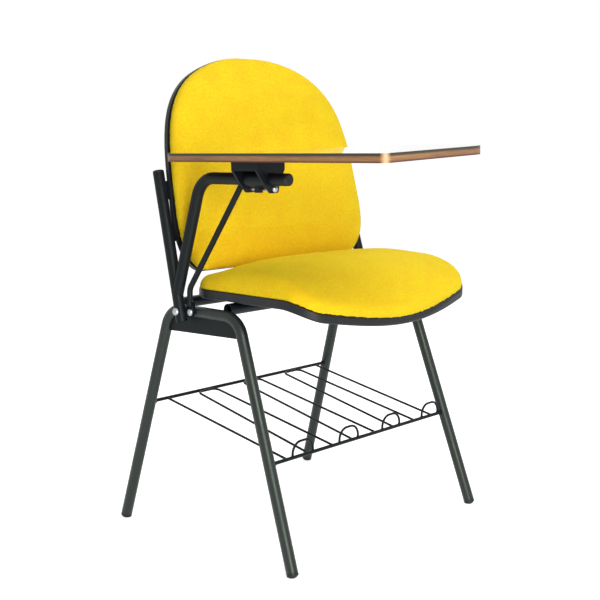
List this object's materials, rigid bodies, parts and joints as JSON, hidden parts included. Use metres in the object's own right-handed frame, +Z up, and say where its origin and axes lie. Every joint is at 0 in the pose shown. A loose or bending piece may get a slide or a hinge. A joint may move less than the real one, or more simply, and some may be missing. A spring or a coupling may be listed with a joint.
{
  "type": "writing tablet lecture chair",
  "caption": "Steel-tube lecture chair with upholstered seat and back, a writing tablet that swings up on the right arm, and a wire book rack under the seat.",
  "frame": {"origin": "on the floor, under the middle of the whole chair's bounding box", "axes": "+Z up; -Y is the chair's front; -X is the sitter's right, where the writing tablet is"},
  "size_m": [0.5452, 0.6336, 0.8119],
  "materials": {
    "black_tube": "gloss black powder coat",
    "black_plastic": "satin moulded",
    "shell_plastic": "fine-grained moulded",
    "yellow_fabric": "woven upholstery",
    "wood_laminate": "satin laminate",
    "wood_edge": "satin edge band",
    "board_core": "pressed board",
    "zinc_hardware": "zinc plated"
  },
  "bodies": {
    "chair_frame": {"right_leg_frame": "black_tube", "left_leg_frame": "black_tube", "right_side_plate": "black_tube", "left_side_plate": "black_tube", "front_right_foot_plug": "black_plastic", "rear_right_foot_plug": "black_plastic", "front_left_foot_plug": "black_plastic", "rear_left_foot_plug": "black_plastic", "front_crossbar": "black_tube", "rear_crossbar": "black_tube", "right_seat_strap": "black_tube", "left_seat_strap": "black_tube", "seat_screws": "zinc_hardware", "seat_shell": "shell_plastic", "seat_pad": "yellow_fabric", "back_shell": "shell_plastic", "back_pad": "yellow_fabric", "right_upright": "black_tube", "left_upright": "black_tube", "right_upright_cap": "black_plastic", "left_upright_cap": "black_plastic", "right_back_tabs": "black_tube", "left_back_tabs": "black_tube", "back_screws": "zinc_hardware", "arm_tube": "black_tube", "arm_end_cap": "black_plastic", "arm_brace": "black_tube", "frame_bolts": "zinc_hardware", "frame_nuts": "zinc_hardware", "rack_rear_bar": "black_tube", "rack_front_bar": "black_tube", "rack_right_slat": "black_tube", "rack_left_slat": "black_tube", "rack_hairpin_1": "black_tube", "rack_hairpin_2": "black_tube", "rack_hairpin_3": "black_tube", "rack_hoop_1": "black_tube", "rack_hoop_2": "black_tube", "rack_hoop_3": "black_tube", "rack_hoop_4": "black_tube", "stop_collar": "black_tube"},
    "tablet": {"tablet_bracket": "black_tube", "tablet_board": "board_core", "tablet_laminate": "wood_laminate", "tablet_edge_band": "wood_edge", "tablet_screws": "zinc_hardware", "stop_pin": "zinc_hardware", "stop_nut": "zinc_hardware"}
  },
  "joints": [
    {"name": "tablet_fold", "type": "hinge", "parent": "chair_frame", "child": "tablet", "pos_m": [-0.21033, 0.10301, 0.60822], "axis": [0.0007, -0.9999, 0.0139], "range_deg": [0, 93]}
  ]
}
